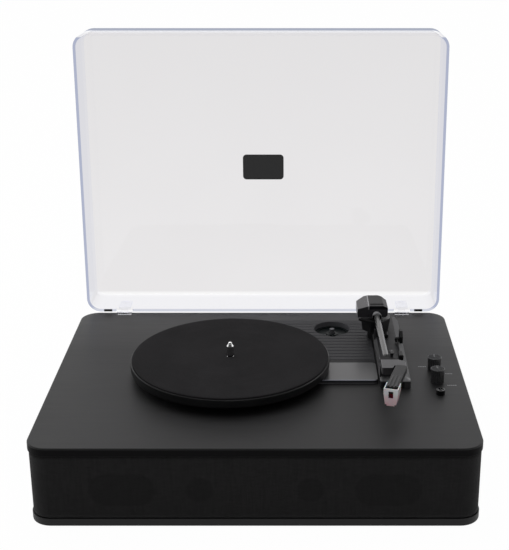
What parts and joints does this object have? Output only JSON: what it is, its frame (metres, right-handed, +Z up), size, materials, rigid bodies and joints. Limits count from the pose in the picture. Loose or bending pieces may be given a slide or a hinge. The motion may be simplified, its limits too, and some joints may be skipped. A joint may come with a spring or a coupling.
{
  "type": "turntable",
  "caption": "Record player in a low black case with a hinged clear dust cover, belt-driven platter, tonearm and built-in front speakers.",
  "frame": {"origin": "middle of the whole outline with the cover open, on the surface that the feet stand on", "axes": "+X to the right seen from the front, +Y to the back, +Z up along the spindle"},
  "size_m": [0.42, 0.3986, 0.4062],
  "materials": {
    "case_plate": "satin",
    "case_side": "satin",
    "cloth": "matte",
    "felt": "matte",
    "rubber_black": "matte",
    "steel": "polished",
    "brass": "satin",
    "speaker_black": "matte",
    "board_green": "satin",
    "insert_grey": "satin",
    "black_plastic": "satin",
    "gloss_black": "polished",
    "arm_grey": "satin",
    "cast_weight": "satin",
    "chrome": "polished",
    "stylus_red": "polished",
    "clear_guard": "polished",
    "clear_cover": "polished"
  },
  "bodies": {
    "case": {"top_plate": "case_plate", "base_plate": "case_plate", "side_wall_left": "case_side", "side_wall_right": "case_side", "back_panel": "case_side", "front_baffle": "case_side", "grille_cloth": "cloth", "rubber_feet": "rubber_black", "case_screws": "steel", "woofer_baskets": "steel", "woofer_cones": "speaker_black", "tweeters": "speaker_black", "circuit_board": "board_green", "board_pillars": "black_plastic", "socket_plate": "black_plastic", "rca_sockets": "chrome", "line_in_socket": "black_plastic", "power_inlet": "black_plastic", "deck_insert": "insert_grey", "spindle": "steel", "spindle_bush": "brass", "drive_belt": "rubber_black", "motor": "steel", "motor_screws": "steel", "tonearm_base": "black_plastic", "pivot_column": "arm_grey", "pivot_bush": "brass", "arm_rest": "arm_grey", "cue_post": "black_plastic", "control_pots": "black_plastic", "headphone_jack": "chrome", "hinge_blocks": "clear_cover", "hinge_pins": "steel"},
    "cover": {"dust_cover": "clear_cover", "hinge_leaves": "clear_cover", "cover_plate": "gloss_black", "cover_bumpers": "rubber_black"},
    "platter": {"platter": "black_plastic", "felt_mat": "felt"},
    "pulley": {"motor_pulley": "brass"},
    "arm_swivel": {"swivel_yoke": "steel"},
    "arm": {"pivot_pin": "steel", "arm_housing": "arm_grey", "counterweights": "cast_weight", "arm_collar": "arm_grey", "collar_ring": "black_plastic", "arm_tube": "arm_grey", "tube_ring": "black_plastic", "arm_elbow": "arm_grey", "headshell": "arm_grey", "cartridge": "black_plastic", "stylus": "stylus_red"},
    "guard": {"stylus_guard": "clear_guard"},
    "latch": {"arm_latch": "black_plastic"},
    "cue_lever": {"cue_lever": "black_plastic"},
    "cue_lift": {"cue_lift": "black_plastic"},
    "speed_switch": {"speed_switch": "black_plastic"},
    "volume_knob": {"volume_knob": "gloss_black"},
    "mode_knob": {"mode_knob": "gloss_black"},
    "adapter": {"record_adapter": "gloss_black"}
  },
  "joints": [
    {"name": "cover_hinge", "type": "hinge", "parent": "case", "child": "cover", "pos_m": [0, 0.12768, 0.0845], "axis": [1, 0, 0], "range_deg": [0, 92.3]},
    {"name": "platter_spin", "type": "hinge", "parent": "case", "child": "platter", "pos_m": [-0.03, -0.03182, 0.1007], "axis": [0, 0, -1], "continuous": true},
    {"name": "pulley_spin", "type": "hinge", "parent": "case", "child": "pulley", "pos_m": [0.00636, 0.03378, 0.086], "axis": [0, 0, -1], "continuous": true},
    {"name": "arm_swing", "type": "hinge", "parent": "case", "child": "arm_swivel", "pos_m": [0.1253, 0.05568, 0.118], "axis": [0, 0, -1], "range_deg": [0, 46]},
    {"name": "arm_lift", "type": "hinge", "parent": "arm_swivel", "child": "arm", "pos_m": [0.1253, 0.05568, 0.118], "axis": [-0.9998, -0.0175, 0], "range_deg": [0, 4.5]},
    {"name": "guard_slide", "type": "slide", "parent": "arm", "child": "guard", "axis": [-0.2672, -0.9636, 0], "range_m": [0, 0.012]},
    {"name": "latch_turn", "type": "hinge", "parent": "case", "child": "latch", "pos_m": [0.13336, -0.0682, 0.118], "axis": [0, 0, -1], "range_deg": [0, 90]},
    {"name": "cue_lever_turn", "type": "hinge", "parent": "case", "child": "cue_lever", "pos_m": [0.1506, 0.01468, 0.1001], "axis": [-1, 0, 0], "range_deg": [0, 35]},
    {"name": "cue_lift_slide", "type": "slide", "parent": "case", "child": "cue_lift", "axis": [0, 0, 1], "range_m": [0, 0.002]},
    {"name": "speed_slide", "type": "slide", "parent": "case", "child": "speed_switch", "axis": [0, 1, 0], "range_m": [-0.0035, 0.0035]},
    {"name": "volume_turn", "type": "hinge", "parent": "case", "child": "volume_knob", "pos_m": [0.1816, -0.02932, 0.0845], "axis": [0, 0, 1], "range_deg": [-150, 150]},
    {"name": "mode_turn", "type": "hinge", "parent": "case", "child": "mode_knob", "pos_m": [0.1816, -0.05782, 0.0845], "axis": [0, 0, 1], "range_deg": [-30, 30]},
    {"name": "adapter_slide", "type": "slide", "parent": "case", "child": "adapter", "axis": [0, 0, 1], "range_m": [0, 0.02]}
  ],
  "couplings": [
    {"joint": "pulley_spin", "follows": "platter_spin", "ratio": 9.6667},
    {"joint": "cue_lever_turn", "follows": "arm_lift", "ratio": 7.75},
    {"joint": "cue_lift_slide", "follows": "arm_lift", "m_per_rad": 0.02497}
  ]
}
